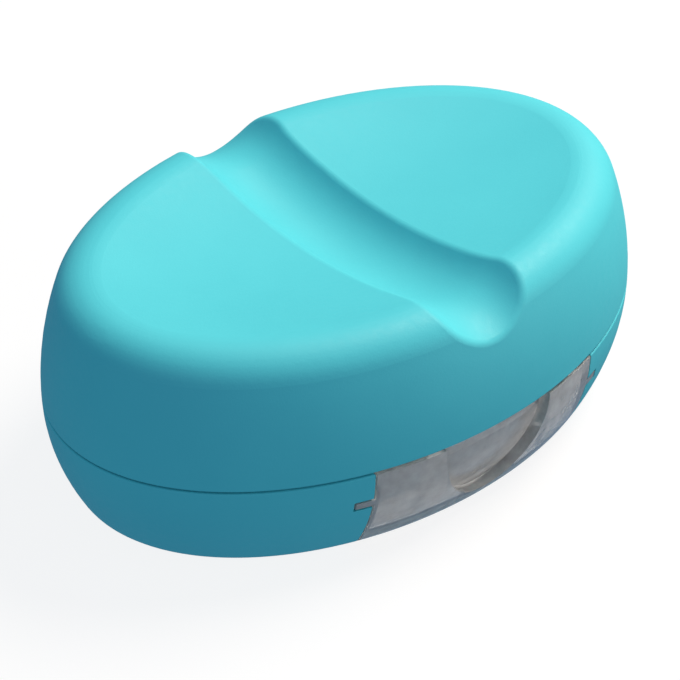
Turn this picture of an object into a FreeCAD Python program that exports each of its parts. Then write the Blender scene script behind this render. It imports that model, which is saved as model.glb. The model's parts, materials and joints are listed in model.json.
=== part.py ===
import FreeCAD, Part
import math
import os

# A palm-sized oval pill crusher, in millimetres.
# +X is the long axis, -Y the drawer side, +Z up; the origin is under the centre, on the feet's plane.

V = FreeCAD.Vector

# Driving dimensions of the casing
HALF_LENGTH = 46.0
HALF_WIDTH = 31.8
CASE_HEIGHT = 32.9
FOOT_PROUD = 0.6
WALL = 2.0
FLOOR = 1.6
WIDEST_UP = 14.4             # height of the widest line above the casing's underside
PARTING_UP = 14.9            # height of the joint line above the casing's underside
PARTING_GAP = 0.3
BULGE_ABOVE = 0.0235         # curvature of the side wall above the widest line, 1/mm
BULGE_BELOW = 0.0395         # and below it
TOP_ROUND = 5.2
BOTTOM_ROUND = 3.4
RIM_EDGE = 0.25

# Top: a shallow oval dish crossed by a finger groove
DISH_SAG = 3.9
DISH_MARGIN = -0.6           # the dish stops this far inside the top edge's rounding
DISH_ROUND = 5.0
GROOVE_RADIUS = 9.0
GROOVE_DEPTH = 3.2
GROOVE_ROUND = 1.2
GROOVE_TURN_Y = 20.2         # where the groove's floor stops climbing and rolls over the rim
GROOVE_ROLL = 12.0           # radius of that roll
GROOVE_FALL = 50.0           # steepness of the floor where the roll ends, degrees
GROOVE_CLIMB_STEPS = 4
GROOVE_ROLL_STEPS = 6
GROOVE_RUN_OUT = (8, 20)     # how far past the roll the cutter goes on, straight

# Drawer and its bay
DRAWER_HALF = 19.3
DRAWER_GAP = 0.25
DRAWER_BACK = 20.0
DRAWER_WALL = 1.5
DRAWER_TOP_UP = 12.0
DRAWER_FLOOR = 1.3
FLOOR_EDGE = 8.5              # inset of the drawer front's lower lip from the widest outline
PANEL_THICK = 1.8
SCOOP_HALF = 9.3
SCOOP_FALL = 11.8             # from the scoop's centre down to its lowest point
SCOOP_UP = 14.4              # height of the scoop's centre above the casing's underside
SCOOP_BACK = 1.3
RAIL_OUT = 2.2
RAIL_THICK = 1.0
RAIL_UP = 9.3
RAIL_SLOT_GAP = 0.3
RAIL_LEDGE = 1.4
RAIL_SHORT = 2.0                # the rails end this far before the drawer's back
TRAY_ROUND = 1.5
POCKET_DROP = 2.4               # the wall behind the scoop ends this far under the scoop's centre
BAY_WALL = 1.4

# Deck, well and jaws
DECK_TOP = 14.9
DECK_THICK = 2.0
EDGE_LIP = 1.1
LIP_RISE = 1.4
SUPPORT_DROP = 1.2
PLATE_ROUND = 1.5
WELL_Y = 11.2
WELL_HALF_X = 13.6
WELL_HALF_Y = 7.0
COLLAR_WALL = 1.4
COLLAR_RISE = 3.7
COLLAR_ROUND = 2.6
COLLAR_FLANGE_X = 3.6           # how far the flange stands out past the collar
COLLAR_FLANGE_Y = 2.0
WELL_ROUND = 1.6
JAW_LEDGE_X = 1.6               # the ledge of the deck under the jaw plate
JAW_LEDGE_Y = 0.8
JAW_PLATE = 1.3
UPPER_PLATE = 1.2
JAW_BLOCK_HALF_X = 12.6
JAW_BLOCK_HALF_Y = 5.3
JAW_CLEARANCE = 0.35
RIDGE_PITCH = 2.4
RIDGE_HALF = 0.8
RIDGE_HEIGHT = 1.3
RIDGE_ROWS = 9
RIDGE_CREST = 0.12
SLOT_HALF = 0.35
SLOT_HALF_LENGTH = 2.4
SLOT_CENTRE = 3.1
SEAL_HEIGHT = 0.8
LINER_LOW = 19.4
LINER_THICK = 1.4
BLOCK_TOP = 22.5
JAW_HALF_X = 15.6
JAW_HALF_Y = 8.6
COLLAR_FLANGE = 1.4
COLLAR_SCREW_X = 16.9
COLLAR_SCREW_Y = 6.0
BLOCK_SCREW_X = 8.4
UPPER_SCREW_X = 11.2
HEAD_SEAT = 1.6                 # depth of the block screws' seats above the jaw plate
RIB_HALF = 0.7
RIB_PLACES_X = (-12, -6.5, 0, 6.5, 12)
RIB_OFF_Y = 4.6
RIB_HALF_LENGTH_X = 16.0
RIB_HALF_LENGTH_Y = 9.0
BLOCK_BOSS_RADIUS = 2.2

# Hinge
PIN_RADIUS = 0.75
PIN_FIT = 0.05
BARREL_RADIUS = 1.7
HINGE_Y = 30.1
HINGE_HALF = 14.6
HINGE_SWEEP = 3.3
KNUCKLE_GAP = 0.3
WEB_REACH = 5.0
WEB_OUT = 0.6
HINGE_NOTCH = 2.4               # room round the knuckles in the plates beside them
HINGE_NOTCH_END = 0.5

# Screws, bosses and feet
SCREW_HEAD = 1.9
SCREW_HEAD_HEIGHT = 1.2
SCREW_SHANK = 0.95
SMALL_HEAD = 1.6
SMALL_HEAD_HEIGHT = 0.7
SMALL_SHANK = 0.75
TINY_HEAD = 1.1
TINY_HEAD_HEIGHT = 0.6
TINY_SHANK = 0.55
BOSS_X = 26.0
BOSS_Y = 11.0
BOSS_RADIUS = 2.8
FOOT_RADIUS = 3.9
FOOT_RECESS = 0.8
HOLE_FIT = 0.05
HEAD_FIT = 0.15
TIP_ROOM = 0.2                  # a blind hole goes this far past its screw's tip

BOTTOM = FOOT_PROUD
TOP = BOTTOM + CASE_HEIGHT
WIDEST = BOTTOM + WIDEST_UP
PARTING = BOTTOM + PARTING_UP
BASE_RIM = PARTING - PARTING_GAP / 2
COVER_RIM = PARTING + PARTING_GAP / 2
FLOOR_TOP = BOTTOM + FLOOR
DRAWER_TOP = BOTTOM + DRAWER_TOP_UP
HINGE_Z = PARTING
LIP_INNER = WALL + PARTING_GAP + EDGE_LIP
PANEL_DEPTH = PANEL_THICK + SCOOP_BACK
UPPER_PLATE_LOW = DECK_TOP + JAW_CLEARANCE + RIDGE_HEIGHT
UPPER_PLATE_TOP = UPPER_PLATE_LOW + UPPER_PLATE
UPPER_SCREW_TIP = UPPER_PLATE_TOP + 2.8
LINER_TOP = LINER_LOW + LINER_THICK
LINER_SCREW_TIP = LINER_TOP + 4.0
BLOCK_SCREW_TIP = BLOCK_TOP + 3.0
BASE_SCREW_TIP = DECK_TOP - 0.6
SCREW_SEAT = BOTTOM + FOOT_RECESS + SCREW_HEAD_HEIGHT
FAR = 120.0


def box(x0, x1, y0, y1, z0, z1):
    return Part.makeBox(x1 - x0, y1 - y0, z1 - z0, V(x0, y0, z0))


def rod(radius, x, y, z0, z1):
    return Part.makeCylinder(radius, z1 - z0, V(x, y, z0), V(0, 0, 1))


def layer(z0, z1):
    return box(-FAR, FAR, -FAR, FAR, z0, z1)


def fused(first, others):
    return first.fuse(list(others))


def wall_lean(z):
    """How far the side wall stands in from the widest line at height z."""
    bulge = BULGE_ABOVE if z > WIDEST else BULGE_BELOW
    return bulge * (z - WIDEST) ** 2 / 2


def oval(z, inset):
    lean = wall_lean(z) + inset
    return Part.Wire([Part.Ellipse(V(0, 0, z), HALF_LENGTH - lean, HALF_WIDTH - lean).toShape()])


def flat_edges(solid, z):
    return [e for e in solid.Edges
            if abs(e.BoundBox.ZMin - z) < 1e-3 and abs(e.BoundBox.ZMax - z) < 1e-3]


def pebble(inset, z0, z1, low_round, high_round):
    """The casing's oval form between two heights, inset by a wall, with rounded ends."""
    steps = 8
    heights = [z0 + (z1 - z0) * i / steps for i in range(steps + 1)]
    solid = Part.makeLoft([oval(z, inset) for z in heights], True, False)
    if high_round:
        solid = solid.makeFillet(high_round, flat_edges(solid, z1))
    if low_round:
        solid = solid.makeFillet(low_round, flat_edges(solid, z0))
    return solid


def oval_band(inner, outer, z0, z1):
    """A plain ring that follows the casing, between two insets."""
    big = Part.makeLoft([oval(z0, outer), oval(z1, outer)], True, True)
    small = Part.makeLoft([oval(z0, inner), oval(z1, inner)], True, True)
    return big.cut(small)


def oval_plate(inset, z0, z1):
    return Part.makeLoft([oval(z0, inset), oval(z1, inset)], True, True)


def oval_column(inset, z0, z1):
    """An upright column with the casing's widest outline, inset by a set amount."""
    outline = Part.Ellipse(V(0, 0, z0), HALF_LENGTH - inset, HALF_WIDTH - inset).toShape()
    return Part.Face(Part.Wire([outline])).extrude(V(0, 0, z1 - z0))


def rounded_box(x0, x1, y0, y1, z0, z1, radius):
    """A box whose upright edges are rounded."""
    solid = box(x0, x1, y0, y1, z0, z1)
    upright = [e for e in solid.Edges if abs(e.BoundBox.ZLength - (z1 - z0)) < 1e-6]
    return solid.makeFillet(radius, upright)


def dish_reach(half):
    return half - wall_lean(TOP) - TOP_ROUND - DISH_MARGIN


def dish_radius():
    """Radius of the dish's section across the casing."""
    return (dish_reach(HALF_WIDTH) ** 2 + DISH_SAG ** 2) / (2 * DISH_SAG)


def dish(drop):
    """The cutter for the oval dish in the top, lowered by drop."""
    radius = dish_radius()
    ball = Part.makeSphere(radius, V(0, 0, 0))
    stretch = FreeCAD.Matrix()
    stretch.scale(dish_reach(HALF_LENGTH) / dish_reach(HALF_WIDTH), 1, 1)
    ball = ball.transformGeometry(stretch)
    ball.translate(V(0, 0, TOP - drop - DISH_SAG + radius))
    return ball


def groove_path():
    """Stations along the groove's axis, front to rear: y, z and the slope there in degrees."""
    sweep = dish_radius() + GROOVE_DEPTH
    centre_z = TOP - DISH_SAG - GROOVE_DEPTH + sweep
    climb = math.degrees(math.asin(GROOVE_TURN_Y / sweep))
    roll_y = (sweep + GROOVE_ROLL) * math.sin(math.radians(climb))
    roll_z = centre_z - (sweep + GROOVE_ROLL) * math.cos(math.radians(climb))
    rear = []
    for i in range(GROOVE_CLIMB_STEPS + 1):
        slope = climb * i / GROOVE_CLIMB_STEPS
        angle = math.radians(slope)
        reach = sweep - GROOVE_RADIUS
        rear.append((reach * math.sin(angle), centre_z - reach * math.cos(angle), slope))
    for i in range(1, GROOVE_ROLL_STEPS + 1):
        slope = climb - (climb + GROOVE_FALL) * i / GROOVE_ROLL_STEPS
        angle = math.radians(slope)
        reach = GROOVE_ROLL + GROOVE_RADIUS
        rear.append((roll_y - reach * math.sin(angle), roll_z + reach * math.cos(angle), slope))
    end_y, end_z, slope = rear[-1]
    angle = math.radians(slope)
    for run in GROOVE_RUN_OUT:
        rear.append((end_y + run * math.cos(angle), end_z + run * math.sin(angle), slope))
    front = [(-y, z, -slope) for y, z, slope in reversed(rear[1:])]
    return front + rear


def groove(grow):
    """The cutter for the finger groove: a round trough that follows the dish and falls off both rims."""
    facing_y = FreeCAD.Rotation(V(1, 0, 0), -90)
    rings = []
    for y, z, slope in groove_path():
        ring = Part.Wire([Part.Circle(V(0, 0, 0), V(0, 0, 1), GROOVE_RADIUS + grow).toShape()])
        tilt = FreeCAD.Rotation(V(1, 0, 0), slope)
        ring.Placement = FreeCAD.Placement(V(0, y, z), tilt * facing_y)
        rings.append(ring)
    return Part.makeLoft(rings, True, False)


def casing():
    """The whole closed outside form: oval body, dished top and groove."""
    body = pebble(0, BOTTOM, TOP, BOTTOM_ROUND, TOP_ROUND)
    body = body.cut(dish(0))
    near_top = [e for e in body.Edges if e.BoundBox.ZMin > TOP - 1.5]
    crest = min(near_top, key=lambda e: e.BoundBox.XLength)
    body = body.makeFillet(DISH_ROUND, [crest])
    trough = groove(0)
    body = body.cut(trough)
    return body.makeFillet(GROOVE_ROUND, [e for e in body.Edges if lies_on(e, trough)])


def lies_on(edge, tool):
    """True for an upper edge whose points all touch the tool that cut it."""
    if edge.BoundBox.ZMax < WIDEST:
        return False
    return all(tool.distToShape(Part.Vertex(p))[0] < 1e-3 for p in edge.discretize(4))


CASING = casing()


def screw(x, y, z_head, z_tip, head, head_height, shank):
    """A small cross-head screw between two heights; z_head is the head's outer face."""
    up = 1 if z_head > z_tip else -1
    low_head, high_head = sorted((z_head, z_head - up * head_height))
    low_shank, high_shank = sorted((z_head - up * head_height, z_tip))
    body = rod(head, x, y, low_head, high_head)
    body = body.fuse(rod(shank, x, y, low_shank, high_shank))
    depth = head_height * 0.55
    low_slot, high_slot = sorted((z_head, z_head - up * depth))
    reach, half = head * 0.6, head * 0.14
    body = body.cut(box(x - reach, x + reach, y - half, y + half, low_slot, high_slot))
    return body.cut(box(x - half, x + half, y - reach, y + reach, low_slot, high_slot))


def corners(half_x, half_y, centre_y=0.0):
    return [(sx * half_x, centre_y + sy * half_y) for sx in (-1, 1) for sy in (-1, 1)]


def group(shapes):
    return Part.makeCompound(shapes)


# Hinge

def knuckle_spans(owner):
    """The stretches along X of the base's three knuckles and the cover's two."""
    pitch = 2 * HINGE_HALF / 5
    edges = [-HINGE_HALF + pitch * i for i in range(6)]
    numbers = (0, 2, 4) if owner == "base" else (1, 3)
    spans = []
    for n in numbers:
        start = edges[n] + (KNUCKLE_GAP / 2 if n > 0 else 0)
        end = edges[n + 1] - (KNUCKLE_GAP / 2 if n < 4 else 0)
        spans.append((start, end))
    return spans


def along_hinge(radius, x0, x1):
    return Part.makeCylinder(radius, x1 - x0, V(x0, HINGE_Y, HINGE_Z), V(1, 0, 0))


def knuckles(owner):
    """Barrels round the hinge pin, each on a web to its own shell."""
    side = -1 if owner == "base" else 1
    parts = []
    for x0, x1 in knuckle_spans(owner):
        low, high = sorted((HINGE_Z, HINGE_Z + side * WEB_REACH))
        web = box(x0, x1, HINGE_Y - BARREL_RADIUS, HINGE_Y + WEB_OUT, low, high).common(CASING)
        parts.append(along_hinge(BARREL_RADIUS, x0, x1).fuse(web))
    return parts


def hinge_relief():
    return along_hinge(HINGE_SWEEP, -HINGE_HALF - KNUCKLE_GAP, HINGE_HALF + KNUCKLE_GAP)


def hinge_notch():
    """Room for the knuckles, cut from the plates that lie beside them."""
    half = HINGE_HALF + HINGE_NOTCH_END
    return box(-half, half, HINGE_Y - HINGE_NOTCH, FAR, -1, FAR)


def pin_bore():
    return along_hinge(PIN_RADIUS + PIN_FIT, -FAR, FAR)


def hinge_pin():
    pin = along_hinge(PIN_RADIUS, -HINGE_HALF, HINGE_HALF)
    return pin.makeChamfer(0.2, pin.Edges)


# Base

def rail_span():
    middle = BOTTOM + RAIL_UP + RAIL_THICK / 2
    return middle - RAIL_THICK / 2, middle + RAIL_THICK / 2


def bay_side(sign):
    """One wall beside the drawer, with two ledges that guide the drawer's rail."""
    inner = DRAWER_HALF + DRAWER_GAP
    outer = inner + RAIL_OUT + RAIL_SLOT_GAP
    low, high = rail_span()
    parts = [box(outer, outer + BAY_WALL, -FAR, DRAWER_BACK + 2, FLOOR_TOP, DECK_TOP - DECK_THICK)]
    for z in (low - RAIL_SLOT_GAP - RAIL_LEDGE, high + RAIL_SLOT_GAP):
        parts.append(box(inner, outer + 0.1, -FAR, DRAWER_BACK + 2, z, z + RAIL_LEDGE))
    wall = fused(parts[0], parts[1:])
    return wall if sign > 0 else wall.mirror(V(0, 0, 0), V(1, 0, 0))


def base_shell():
    """The lower casing: floor, drawer window and bay, deck support, screw bosses and hinge."""
    shell = CASING.common(layer(-1, BASE_RIM))
    outer_rim = max(flat_edges(shell, BASE_RIM), key=lambda e: e.BoundBox.XLength)
    shell = shell.makeFillet(RIM_EDGE, [outer_rim])
    cavity = pebble(WALL, FLOOR_TOP, TOP, BOTTOM_ROUND - FLOOR, 0)
    shell = shell.cut(cavity)
    deck_low = DECK_TOP - DECK_THICK
    support = oval_band(LIP_INNER, WALL - 0.1, deck_low, BASE_RIM)
    ledge = oval_band(LIP_INNER + EDGE_LIP, WALL - 0.1, deck_low - SUPPORT_DROP, deck_low)
    lip = oval_band(LIP_INNER, LIP_INNER - EDGE_LIP, BASE_RIM - 0.5, BASE_RIM + LIP_RISE)
    lip = lip.cut(box(-FAR, FAR, HINGE_Y - 10, FAR, BASE_RIM, FAR))
    bosses = [rod(BOSS_RADIUS, x, y, FLOOR_TOP - 0.1, deck_low) for x, y in corners(BOSS_X, BOSS_Y)]
    guides = [bay_side(s).common(cavity) for s in (-1, 1)]
    shell = fused(shell, guides + bosses + [support, ledge, lip])
    # the bay, the window in the front wall and the slots for the drawer's rails
    half = DRAWER_HALF + DRAWER_GAP
    slot_half = half + RAIL_OUT + RAIL_SLOT_GAP
    low, high = rail_span()
    shell = shell.cut(box(-half, half, -FAR, DRAWER_BACK + 1, FLOOR_TOP, deck_low))
    shell = shell.cut(drawer_front_ring(FLOOR_EDGE + DRAWER_GAP, half, -1, FAR))
    slot_low, slot_high = low - RAIL_SLOT_GAP, high + RAIL_SLOT_GAP
    shell = shell.cut(box(-slot_half, slot_half, -FAR, DRAWER_BACK, slot_low, slot_high))
    # the hinge's knuckles and the bore for its pin
    shell = shell.cut(hinge_relief())
    for knuckle in knuckles("base"):
        shell = shell.fuse(knuckle)
    shell = shell.cut(pin_bore())
    # screw holes, the recesses for the screws' heads and those for the feet
    for x, y in corners(BOSS_X, BOSS_Y):
        shell = shell.cut(rod(FOOT_RADIUS + HOLE_FIT, x, y, -1, BOTTOM + FOOT_RECESS))
        shell = shell.cut(rod(SCREW_HEAD + HEAD_FIT, x, y, -1, SCREW_SEAT))
        shell = shell.cut(rod(SCREW_SHANK + HOLE_FIT, x, y, -1, FAR))
    return shell


def base_screws():
    """The four screws that pull the deck down onto the base, each hidden by a foot."""
    return group([screw(x, y, SCREW_SEAT - SCREW_HEAD_HEIGHT, BASE_SCREW_TIP, SCREW_HEAD,
                        SCREW_HEAD_HEIGHT, SCREW_SHANK) for x, y in corners(BOSS_X, BOSS_Y)])


def foot(x, y):
    pad = rod(FOOT_RADIUS, x, y, 0, BOTTOM + FOOT_RECESS)
    return pad.makeFillet(0.3, flat_edges(pad, 0))


# Deck, well and jaws

def well_floor(half_x, half_y, z0, z1, radius):
    return rounded_box(-half_x, half_x, WELL_Y - half_y, WELL_Y + half_y, z0, z1, radius)


def deck():
    """The plate over the drawer: it carries the lower jaw and closes the base."""
    low = DECK_TOP - DECK_THICK
    plate = oval_plate(LIP_INNER + HOLE_FIT, low, DECK_TOP)
    half = DRAWER_HALF + 2 * DRAWER_GAP
    plate = plate.cut(drawer_front_ring(PANEL_DEPTH + 2 * DRAWER_GAP, half, low - 1, FAR))
    plate = plate.cut(hinge_notch())
    plate = plate.cut(well_floor(JAW_HALF_X, JAW_HALF_Y, DECK_TOP - JAW_PLATE, FAR, PLATE_ROUND))
    opening_x, opening_y = WELL_HALF_X - JAW_LEDGE_X, WELL_HALF_Y - JAW_LEDGE_Y
    plate = plate.cut(well_floor(opening_x, opening_y, low - 1, FAR, PLATE_ROUND))
    for x, y in corners(BOSS_X, BOSS_Y):
        plate = plate.fuse(rod(BOSS_RADIUS, x, y, DECK_TOP - 0.1, DECK_TOP + 1.2))
        plate = plate.cut(rod(SCREW_SHANK, x, y, low - 1, BASE_SCREW_TIP + TIP_ROOM))
    for x, y in corners(COLLAR_SCREW_X, COLLAR_SCREW_Y, WELL_Y):
        plate = plate.cut(rod(SMALL_SHANK, x, y, low - 1, DECK_TOP + 1))
    return plate


def ridge(x, y0, y1, z_root, rise):
    """One long ridge along Y, with a narrow flat crest; a negative rise points down."""
    outline = [V(x - RIDGE_HALF, y0, z_root), V(x + RIDGE_HALF, y0, z_root),
               V(x + RIDGE_CREST, y0, z_root + rise), V(x - RIDGE_CREST, y0, z_root + rise)]
    face = Part.Face(Part.makePolygon(outline + outline[:1]))
    return face.extrude(V(0, y1 - y0, 0))


def ridge_places(count):
    return [(i - (count - 1) / 2) * RIDGE_PITCH for i in range(count)]


def lower_jaw():
    """A stainless plate with ridges along Y and slots between them, where the powder falls through."""
    plate = well_floor(JAW_HALF_X - 0.1, JAW_HALF_Y - 0.1, DECK_TOP - JAW_PLATE, DECK_TOP,
                       PLATE_ROUND - 0.1)
    y0, y1 = WELL_Y - WELL_HALF_Y + 0.6, WELL_Y + WELL_HALF_Y - 0.6
    rows = [ridge(x, y0, y1, DECK_TOP - 0.05, RIDGE_HEIGHT + 0.05) for x in ridge_places(RIDGE_ROWS)]
    plate = fused(plate, rows)
    for x in ridge_places(RIDGE_ROWS + 1):
        for centre in (WELL_Y - SLOT_CENTRE, WELL_Y + SLOT_CENTRE):
            plate = plate.cut(rounded_box(x - SLOT_HALF, x + SLOT_HALF,
                                          centre - SLOT_HALF_LENGTH, centre + SLOT_HALF_LENGTH,
                                          DECK_TOP - JAW_PLATE - 1, DECK_TOP + 0.02, 0.3))
    return plate


def well_collar():
    """The moulded frame that holds the jaw's plate down and stands up round the well."""
    outer_x, outer_y = WELL_HALF_X + COLLAR_WALL, WELL_HALF_Y + COLLAR_WALL
    flange = well_floor(outer_x + COLLAR_FLANGE_X, outer_y + COLLAR_FLANGE_Y,
                        DECK_TOP, DECK_TOP + COLLAR_FLANGE, COLLAR_ROUND)
    wall = well_floor(outer_x, outer_y, DECK_TOP, DECK_TOP + COLLAR_RISE, COLLAR_ROUND)
    collar = flange.fuse(wall)
    collar = collar.cut(well_floor(WELL_HALF_X, WELL_HALF_Y, -1, FAR, WELL_ROUND))
    for x, y in corners(COLLAR_SCREW_X, COLLAR_SCREW_Y, WELL_Y):
        collar = collar.cut(rod(SMALL_SHANK + HOLE_FIT, x, y, 0, FAR))
        seat = DECK_TOP + COLLAR_FLANGE - SMALL_HEAD_HEIGHT
        collar = collar.cut(rod(SMALL_HEAD + HEAD_FIT, x, y, seat, FAR))
    return collar


def collar_screws():
    top = DECK_TOP + COLLAR_FLANGE
    return group([screw(x, y, top, DECK_TOP - DECK_THICK + 0.2, SMALL_HEAD, SMALL_HEAD_HEIGHT, SMALL_SHANK)
                  for x, y in corners(COLLAR_SCREW_X, COLLAR_SCREW_Y, WELL_Y)])


def well_seal():
    """The soft ring round the collar, which the lid's liner presses on."""
    outer_x, outer_y = WELL_HALF_X + COLLAR_WALL, WELL_HALF_Y + COLLAR_WALL
    low = DECK_TOP + COLLAR_RISE
    ring = well_floor(outer_x, outer_y, low, low + SEAL_HEIGHT, COLLAR_ROUND)
    ring = ring.cut(well_floor(WELL_HALF_X + 0.4, WELL_HALF_Y + 0.4, -1, FAR, WELL_ROUND + 0.2))
    return ring


# Cover

def cover_shell():
    """The lid's outer skin, with the ribs, bosses and hinge knuckles moulded inside it."""
    skin = CASING.common(layer(COVER_RIM, FAR))
    rim = max(flat_edges(skin, COVER_RIM), key=lambda e: e.BoundBox.XLength)
    skin = skin.makeFillet(RIM_EDGE, [rim])
    cavity = pebble(WALL, COVER_RIM - 2, TOP - WALL, 0, TOP_ROUND - WALL)
    cavity = cavity.cut(dish(WALL)).cut(groove(WALL))
    skin = skin.cut(cavity)
    inside = [box(x - RIB_HALF, x + RIB_HALF, WELL_Y - RIB_HALF_LENGTH_Y, WELL_Y + RIB_HALF_LENGTH_Y,
                  BLOCK_TOP, TOP) for x in RIB_PLACES_X]
    inside += [box(-RIB_HALF_LENGTH_X, RIB_HALF_LENGTH_X, y - RIB_HALF, y + RIB_HALF, BLOCK_TOP, TOP)
               for y in (WELL_Y - RIB_OFF_Y, WELL_Y + RIB_OFF_Y)]
    inside += [rod(BLOCK_BOSS_RADIUS, x, WELL_Y, BLOCK_TOP, TOP) for x in (-BLOCK_SCREW_X, BLOCK_SCREW_X)]
    inside += [rod(BOSS_RADIUS, x, y, LINER_TOP, TOP) for x, y in corners(BOSS_X, BOSS_Y)]
    skin = fused(skin, [piece.common(cavity) for piece in inside])
    skin = skin.cut(hinge_relief())
    for knuckle in knuckles("cover"):
        skin = skin.fuse(knuckle)
    skin = skin.cut(pin_bore())
    for x, y in corners(BOSS_X, BOSS_Y):
        skin = skin.cut(rod(SMALL_SHANK, x, y, 0, LINER_SCREW_TIP + TIP_ROOM))
    for x in (-BLOCK_SCREW_X, BLOCK_SCREW_X):
        skin = skin.cut(rod(SMALL_SHANK, x, WELL_Y, 0, BLOCK_SCREW_TIP + TIP_ROOM))
    return skin


def cover_liner():
    """The flat inner panel that closes the lid's underside round the jaw block."""
    plate = oval_plate(WALL + 0.1, LINER_LOW, LINER_TOP)
    plate = plate.cut(well_floor(JAW_BLOCK_HALF_X + 0.1, JAW_BLOCK_HALF_Y + 0.1, 0, FAR, WELL_ROUND))
    plate = plate.cut(hinge_notch())
    for x, y in corners(BOSS_X, BOSS_Y):
        plate = plate.cut(rod(SMALL_SHANK + HOLE_FIT, x, y, 0, FAR))
        plate = plate.cut(rod(SMALL_HEAD + HEAD_FIT, x, y, 0, LINER_LOW + SMALL_HEAD_HEIGHT))
    return plate


def liner_screws():
    return group([screw(x, y, LINER_LOW, LINER_SCREW_TIP, SMALL_HEAD, SMALL_HEAD_HEIGHT,
                        SMALL_SHANK) for x, y in corners(BOSS_X, BOSS_Y)])


def jaw_block():
    """The pressing block that carries the upper jaw and bears on the lid's ribs."""
    block = well_floor(JAW_BLOCK_HALF_X, JAW_BLOCK_HALF_Y, UPPER_PLATE_TOP, BLOCK_TOP, WELL_ROUND)
    for x in (-BLOCK_SCREW_X, BLOCK_SCREW_X):
        block = block.cut(rod(SMALL_SHANK + HOLE_FIT, x, WELL_Y, 0, FAR))
        block = block.cut(rod(SMALL_HEAD + HEAD_FIT, x, WELL_Y, 0, UPPER_PLATE_TOP + HEAD_SEAT))
    for x in (-UPPER_SCREW_X, UPPER_SCREW_X):
        block = block.cut(rod(TINY_SHANK, x, WELL_Y, 0, UPPER_SCREW_TIP + TIP_ROOM))
    return block


def jaw_block_screws():
    head = UPPER_PLATE_TOP + HEAD_SEAT - SMALL_HEAD_HEIGHT
    return group([screw(x, WELL_Y, head, BLOCK_SCREW_TIP, SMALL_HEAD, SMALL_HEAD_HEIGHT, SMALL_SHANK)
                  for x in (-BLOCK_SCREW_X, BLOCK_SCREW_X)])


def upper_jaw():
    """The stainless plate whose ridges close between those of the lower jaw."""
    plate = well_floor(JAW_BLOCK_HALF_X, JAW_BLOCK_HALF_Y, UPPER_PLATE_LOW, UPPER_PLATE_TOP, WELL_ROUND)
    y0, y1 = WELL_Y - JAW_BLOCK_HALF_Y + 0.3, WELL_Y + JAW_BLOCK_HALF_Y - 0.3
    rows = [ridge(x, y0, y1, UPPER_PLATE_LOW + 0.05, -RIDGE_HEIGHT - 0.05)
            for x in ridge_places(RIDGE_ROWS - 1)]
    plate = fused(plate, rows)
    for x in (-UPPER_SCREW_X, UPPER_SCREW_X):
        plate = plate.cut(rod(TINY_SHANK + HOLE_FIT, x, WELL_Y, 0, FAR))
        plate = plate.cut(rod(TINY_HEAD + HOLE_FIT, x, WELL_Y, 0, UPPER_PLATE_LOW + TINY_HEAD_HEIGHT))
    return plate


def upper_jaw_screws():
    return group([screw(x, WELL_Y, UPPER_PLATE_LOW, UPPER_SCREW_TIP, TINY_HEAD, TINY_HEAD_HEIGHT,
                        TINY_SHANK) for x in (-UPPER_SCREW_X, UPPER_SCREW_X)])


# Drawer

def drawer_front_ring(edge_inset, half_x, z0, z1):
    """The space in front of the bay: all that lies outside an upright oval, as wide as the drawer."""
    slab = box(-half_x, half_x, -FAR, 0, z0, z1)
    return slab.cut(oval_column(edge_inset, z0 - 1, z1 + 1))


def drawer():
    """The clear powder drawer: a curved front panel with a thumb scoop, a tray and two side rails."""
    tray_low = FLOOR_TOP + DRAWER_GAP
    tray_floor = tray_low + DRAWER_FLOOR
    block = CASING.common(box(-DRAWER_HALF, DRAWER_HALF, -FAR, DRAWER_BACK, BOTTOM, BASE_RIM - 0.1))
    body = block.cut(pebble(PANEL_THICK, tray_floor, TOP, TRAY_ROUND, 0))
    body = body.cut(oval_column(FLOOR_EDGE, 0, tray_low))
    centre = V(0, 0, BOTTOM + SCOOP_UP)
    outline = Part.Ellipse(centre + V(0, 0, SCOOP_FALL), centre + V(SCOOP_HALF, 0, 0), centre).toShape()
    scoop = Part.Face(Part.Wire([outline])).extrude(V(0, -FAR, 0))
    scoop = scoop.cut(pebble(PANEL_THICK, BOTTOM - 1, TOP, 0, 0))
    body = body.cut(scoop)
    pocket = SCOOP_HALF + SCOOP_BACK
    back = pebble(PANEL_THICK - 0.01, tray_floor - 0.01, TOP, TRAY_ROUND, 0)
    back = back.common(box(-pocket, pocket, -FAR, 0, 0, BOTTOM + SCOOP_UP - POCKET_DROP))
    back = back.cut(pebble(PANEL_DEPTH, tray_floor, TOP, 0.5, 0))
    inner = DRAWER_HALF - DRAWER_WALL
    walls = box(-DRAWER_HALF, DRAWER_HALF, -FAR, DRAWER_BACK, tray_low, DRAWER_TOP)
    walls = walls.cut(rounded_box(-inner, inner, -FAR, DRAWER_BACK - DRAWER_WALL, -1, FAR, 2.0))
    walls = walls.common(pebble(PANEL_THICK - 0.01, BOTTOM - 1, TOP, 0, 0))
    low, high = rail_span()
    outer = DRAWER_HALF + DRAWER_GAP + RAIL_OUT
    rails = box(-outer, outer, -FAR, DRAWER_BACK - RAIL_SHORT, low, high).common(CASING)
    rails = rails.cut(box(-DRAWER_HALF + 0.5, DRAWER_HALF - 0.5, -FAR, FAR, 0, FAR))
    return fused(body, [back, walls, rails])


# Output

NODES = {
    "base_shell": base_shell,
    "deck": deck,
    "base_screws": base_screws,
    "lower_jaw": lower_jaw,
    "well_collar": well_collar,
    "collar_screws": collar_screws,
    "well_seal": well_seal,
    "hinge_pin": hinge_pin,
    "top_cover": cover_shell,
    "cover_liner": cover_liner,
    "liner_screws": liner_screws,
    "jaw_block": jaw_block,
    "jaw_block_screws": jaw_block_screws,
    "upper_jaw": upper_jaw,
    "upper_jaw_screws": upper_jaw_screws,
    "drawer": drawer,
}

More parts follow.
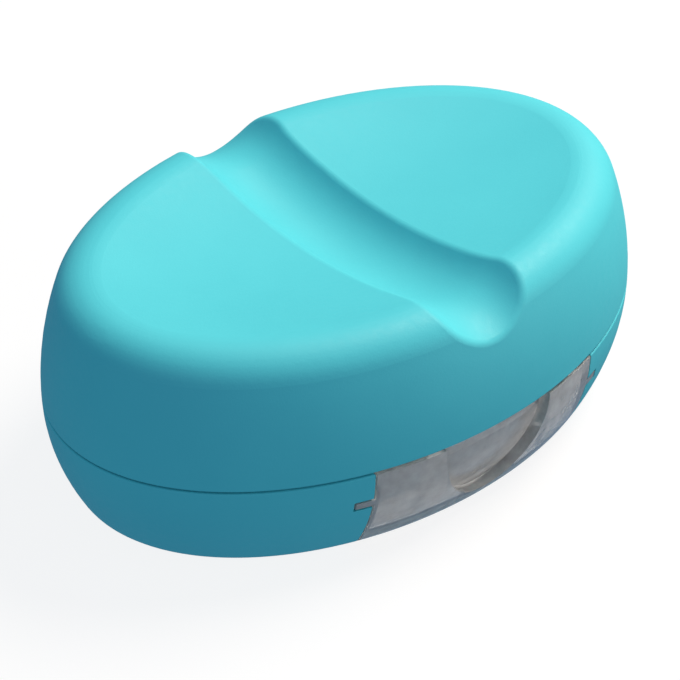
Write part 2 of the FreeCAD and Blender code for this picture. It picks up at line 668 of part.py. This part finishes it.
FEET = {
    "foot_front_left": (-BOSS_X, -BOSS_Y),
    "foot_front_right": (BOSS_X, -BOSS_Y),
    "foot_rear_left": (-BOSS_X, BOSS_Y),
    "foot_rear_right": (BOSS_X, BOSS_Y),
}


def write_parts():
    os.makedirs("parts", exist_ok=True)
    shapes = {name: make() for name, make in NODES.items()}
    shapes.update({name: foot(x, y) for name, (x, y) in FEET.items()})
    for name, shape in shapes.items():
        shape.exportStep(os.path.join("parts", name + ".step"))
        print(f"{name:18s} valid {shape.isValid()}  solids {len(shape.Solids)}  "
              f"volume {shape.Volume:9.1f} mm3")


write_parts()
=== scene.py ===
import json
import math

import bpy
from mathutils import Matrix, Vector


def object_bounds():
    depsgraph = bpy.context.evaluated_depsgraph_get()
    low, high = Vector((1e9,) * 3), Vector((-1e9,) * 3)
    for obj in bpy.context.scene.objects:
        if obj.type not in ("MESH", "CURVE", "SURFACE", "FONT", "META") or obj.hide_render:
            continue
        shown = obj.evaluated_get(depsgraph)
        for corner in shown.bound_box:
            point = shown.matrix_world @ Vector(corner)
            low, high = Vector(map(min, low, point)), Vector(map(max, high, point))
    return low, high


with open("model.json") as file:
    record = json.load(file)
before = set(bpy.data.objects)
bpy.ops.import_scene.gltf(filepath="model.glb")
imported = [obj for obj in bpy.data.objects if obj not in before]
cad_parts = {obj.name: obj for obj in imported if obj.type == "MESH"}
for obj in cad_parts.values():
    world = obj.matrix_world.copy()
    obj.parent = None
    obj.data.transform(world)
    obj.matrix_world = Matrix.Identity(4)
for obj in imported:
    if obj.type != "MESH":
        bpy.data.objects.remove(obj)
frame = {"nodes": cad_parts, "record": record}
CAD_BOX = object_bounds()
NODES = frame["nodes"]
RECORD = frame["record"]
CENTRE = (Vector(CAD_BOX[0]) + Vector(CAD_BOX[1])) / 2

# Camera: where it stands round the object, and how the frame is placed
CAMERA_AZIMUTH = -40.82
CAMERA_ELEVATION = 35.55
CAMERA_DISTANCE = 0.3262
CAMERA_CLIP = 0.01
LENS = 124.5
SENSOR = 36.0
SHIFT_X = -0.0060
SHIFT_Y = -0.0473

# Studio: warm lamps against a cool surround, over a pale floor that glows
LAMP_DISTANCE = 0.7
LAMP_SIZE = 0.40
WARM = (1.0, 0.87, 0.74)
WHITE = (1.0, 1.0, 1.0)
SURROUND = (0.48, 0.72, 1.0)
SURROUND_STRENGTH = 0.36
FLOOR_HALF = 3.0
FLOOR_GLOW = 0.86
FLOOR_DARK = (0.11, 0.11, 0.11)
FLOOR_LIGHT = (0.13, 0.13, 0.13)
FLOOR_GRAIN = 0.3

# Colours
TEAL = (0.092, 0.620, 0.690)
TEAL_SHADE = (0.086, 0.600, 0.672)
INNER = (0.60, 0.61, 0.62)
CLEAR_DARK = (0.82, 0.785, 0.745)
CLEAR_LIGHT = (0.92, 0.885, 0.845)
JAW_STEEL = (0.50, 0.50, 0.51)
PIN_STEEL = (0.60, 0.60, 0.61)
SCREW_STEEL = (0.42, 0.42, 0.43)
BLACK_RUBBER = (0.03, 0.03, 0.032)
WHITE_SILICONE = (0.62, 0.62, 0.61)

# How far a material's second tone lies from its first
INNER_SHADE = 0.94
STEEL_SHADE = 0.82
RUBBER_LIGHT = 1.35

# Directions in which grain or brush marks are drawn out
ALONG_X = (0.04, 1.0, 1.0)
ALONG_Y = (1.0, 0.04, 1.0)
EVEN = (1.0, 1.0, 1.0)
FLAT_CLOUDS = (1.0, 1.0, 3.0)

# Roughness, from the smoothest patches to the roughest
SATIN = (0.50, 0.62)
POLISHED = (0.07, 0.16)
BRUSHED = (0.22, 0.38)
RUBBERY = (0.6, 0.8)
SILKY = (0.4, 0.55)

# Noise values mostly lie between these
NOISE_LOW = 0.3
NOISE_HIGH = 0.7


# Materials

def scaled(colour, factor):
    return tuple(factor * c for c in colour)


class Shader:
    """A material's node tree, built one node at a time."""

    def __init__(self, name):
        self.material = bpy.data.materials.new(name)
        self.material.use_nodes = True
        self.tree = self.material.node_tree
        self.tree.nodes.clear()
        output = self.add("ShaderNodeOutputMaterial")
        self.surface = self.add("ShaderNodeBsdfPrincipled")
        self.link(self.surface.outputs["BSDF"], output.inputs["Surface"])
        self.place = self.add("ShaderNodeTexCoord").outputs["Object"]

    def add(self, kind, **settings):
        node = self.tree.nodes.new(kind)
        for key, value in settings.items():
            setattr(node, key, value)
        return node

    def link(self, source, target):
        self.tree.links.new(source, target)

    def drive(self, name, source):
        """Links source to one of the surface's sockets."""
        self.link(source, self.surface.inputs[name])

    def set(self, **values):
        """Gives the surface's sockets constant values; _ stands for a space."""
        for key, value in values.items():
            self.surface.inputs[key.replace("_", " ")].default_value = value

    def noise(self, size, detail=2.0, rough=0.5, stretch=None):
        """Noise whose grains are about size metres across."""
        node = self.add("ShaderNodeTexNoise")
        node.inputs["Scale"].default_value = 1.0 / size
        node.inputs["Detail"].default_value = detail
        node.inputs["Roughness"].default_value = rough
        source = self.place
        if stretch:
            mapping = self.add("ShaderNodeMapping")
            mapping.inputs["Scale"].default_value = stretch
            self.link(source, mapping.inputs["Vector"])
            source = mapping.outputs["Vector"]
        self.link(source, node.inputs["Vector"])
        return node.outputs["Fac"]

    def span(self, source, low=0.0, high=1.0):
        """Spreads a noise's usual range over low to high."""
        node = self.add("ShaderNodeMapRange")
        ends = {"From Min": NOISE_LOW, "From Max": NOISE_HIGH, "To Min": low, "To Max": high}
        for key, value in ends.items():
            node.inputs[key].default_value = value
        self.link(source, node.inputs["Value"])
        return node.outputs["Result"]

    def mix(self, factor, first, second):
        node = self.add("ShaderNodeMix", data_type="RGBA")
        self.link(factor, node.inputs["Factor"])
        node.inputs["A"].default_value = (*first, 1.0)
        node.inputs["B"].default_value = (*second, 1.0)
        return node.outputs["Result"]

    def bump(self, height, depth, strength=1.0, below=None):
        """Bump of a depth in metres, on top of the bump below."""
        node = self.add("ShaderNodeBump")
        node.inputs["Strength"].default_value = strength
        node.inputs["Distance"].default_value = depth
        self.link(height, node.inputs["Height"])
        if below is not None:
            self.link(below, node.inputs["Normal"])
        return node.outputs["Normal"]


def moulded_plastic(name, colour, shade):
    """Satin injection-moulded plastic: a fine etched grain and a faint unevenness in tone."""
    s = Shader(name)
    s.drive("Base Color", s.mix(s.span(s.noise(0.012, 3.0)), colour, shade))
    s.drive("Roughness", s.span(s.noise(0.0009, 3.0), *SATIN))
    grain = s.bump(s.noise(0.00028, 2.0, 0.6), 0.000012)
    s.drive("Normal", s.bump(s.noise(0.007, 1.0), 0.00002, 0.5, grain))
    s.set(IOR=1.5, Specular_IOR_Level=0.28)
    return s.material


def clear_plastic(name):
    """Smoky clear styrene: cloudy inside, with faint flow marks and fine rub marks."""
    s = Shader(name)
    cloud = s.span(s.noise(0.006, 2.0, 0.5, FLAT_CLOUDS))
    s.drive("Base Color", s.mix(cloud, CLEAR_DARK, CLEAR_LIGHT))
    s.drive("Roughness", s.span(s.noise(0.0009, 4.0, 0.6), *POLISHED))
    s.drive("Transmission Weight", s.span(s.noise(0.0022, 3.0, 0.6), 0.52, 0.68))
    s.drive("Normal", s.bump(s.noise(0.0020, 3.0, 0.5), 0.00003, 0.4))
    s.set(IOR=1.49)
    return s.material


def brushed_steel(name, colour, stretch):
    """Stamped or drawn steel with fine marks along one direction."""
    s = Shader(name)
    marks = s.noise(0.00012, 2.0, 0.6, stretch)
    s.drive("Base Color", s.mix(s.span(marks), scaled(colour, STEEL_SHADE), colour))
    s.drive("Roughness", s.span(marks, *BRUSHED))
    s.drive("Normal", s.bump(marks, 0.000006))
    s.set(Metallic=1.0)
    return s.material


def rubber(name, colour, gloss):
    """Soft rubber or silicone with a matt, slightly uneven skin."""
    s = Shader(name)
    s.drive("Base Color", s.mix(s.span(s.noise(0.002, 3.0)), colour, scaled(colour, RUBBER_LIGHT)))
    s.drive("Roughness", s.span(s.noise(0.0006, 2.0), *gloss))
    s.drive("Normal", s.bump(s.noise(0.0003, 2.0), 0.00002))
    return s.material


MATERIALS = {
    "teal_plastic": moulded_plastic("teal_moulding", TEAL, TEAL_SHADE),
    "clear_plastic": clear_plastic("clear_moulding"),
    "inner_plastic": moulded_plastic("grey_moulding", INNER, scaled(INNER, INNER_SHADE)),
    "jaw_steel": brushed_steel("stamped_steel", JAW_STEEL, ALONG_Y),
    "pin_steel": brushed_steel("drawn_wire", PIN_STEEL, ALONG_X),
    "screw_steel": brushed_steel("plated_screw", SCREW_STEEL, EVEN),
    "foot_rubber": rubber("foot_elastomer", BLACK_RUBBER, RUBBERY),
    "seal_silicone": rubber("white_silicone", WHITE_SILICONE, SILKY),
}

for part in RECORD["subparts"]:
    NODES[part["node"]].material_slots[0].material = MATERIALS[part["material_slot"]]


# Floor, light and camera

def place(name, data):
    """A new object for data, in the scene."""
    made = bpy.data.objects.new(name, data)
    bpy.context.scene.collection.objects.link(made)
    return made


def floor():
    h = FLOOR_HALF
    mesh = bpy.data.meshes.new("floor")
    mesh.from_pydata([(-h, -h, 0), (h, -h, 0), (h, h, 0), (-h, h, 0)], [], [(0, 1, 2, 3)])
    s = Shader("pale_floor")
    s.drive("Base Color", s.mix(s.span(s.noise(FLOOR_GRAIN)), FLOOR_DARK, FLOOR_LIGHT))
    s.set(Roughness=0.9, Emission_Color=(*WHITE, 1.0), Emission_Strength=FLOOR_GLOW)
    mesh.materials.append(s.material)
    plane = place("floor", mesh)
    plane.visible_diffuse = False
    plane.visible_glossy = False


def area_light(name, direction, power, colour):
    data = bpy.data.lights.new(name, "AREA")
    data.shape = "DISK"
    data.size = LAMP_SIZE
    data.energy = power
    data.color = colour
    lamp = place(name, data)
    way = Vector(direction).normalized()
    lamp.location = CENTRE + way * LAMP_DISTANCE
    lamp.rotation_euler = way.to_track_quat("Z", "Y").to_euler()


def surround():
    studio = bpy.data.worlds.new("studio")
    studio.use_nodes = True
    background = studio.node_tree.nodes["Background"]
    background.inputs["Color"].default_value = (*SURROUND, 1.0)
    background.inputs["Strength"].default_value = SURROUND_STRENGTH
    bpy.context.scene.world = studio


def camera():
    az, el = math.radians(CAMERA_AZIMUTH), math.radians(CAMERA_ELEVATION)
    back = Vector((math.sin(az) * math.cos(el), -math.cos(az) * math.cos(el), math.sin(el)))
    data = bpy.data.cameras.new("camera")
    data.lens = LENS
    data.sensor_width = SENSOR
    data.shift_x = SHIFT_X
    data.shift_y = SHIFT_Y
    data.clip_start = CAMERA_CLIP
    eye = place("camera", data)
    eye.location = CENTRE + back * CAMERA_DISTANCE
    eye.rotation_euler = back.to_track_quat("Z", "Y").to_euler()
    bpy.context.scene.camera = eye


floor()
area_light("key", (0.60, -0.04, 0.80), 6.2, WARM)
area_light("fill", (0.62, -0.78, 0.06), 1.3, WARM)
area_light("side", (-0.85, -0.45, 0.45), 0.32, WHITE)
surround()
camera()
bpy.context.scene.view_settings.view_transform = "Standard"
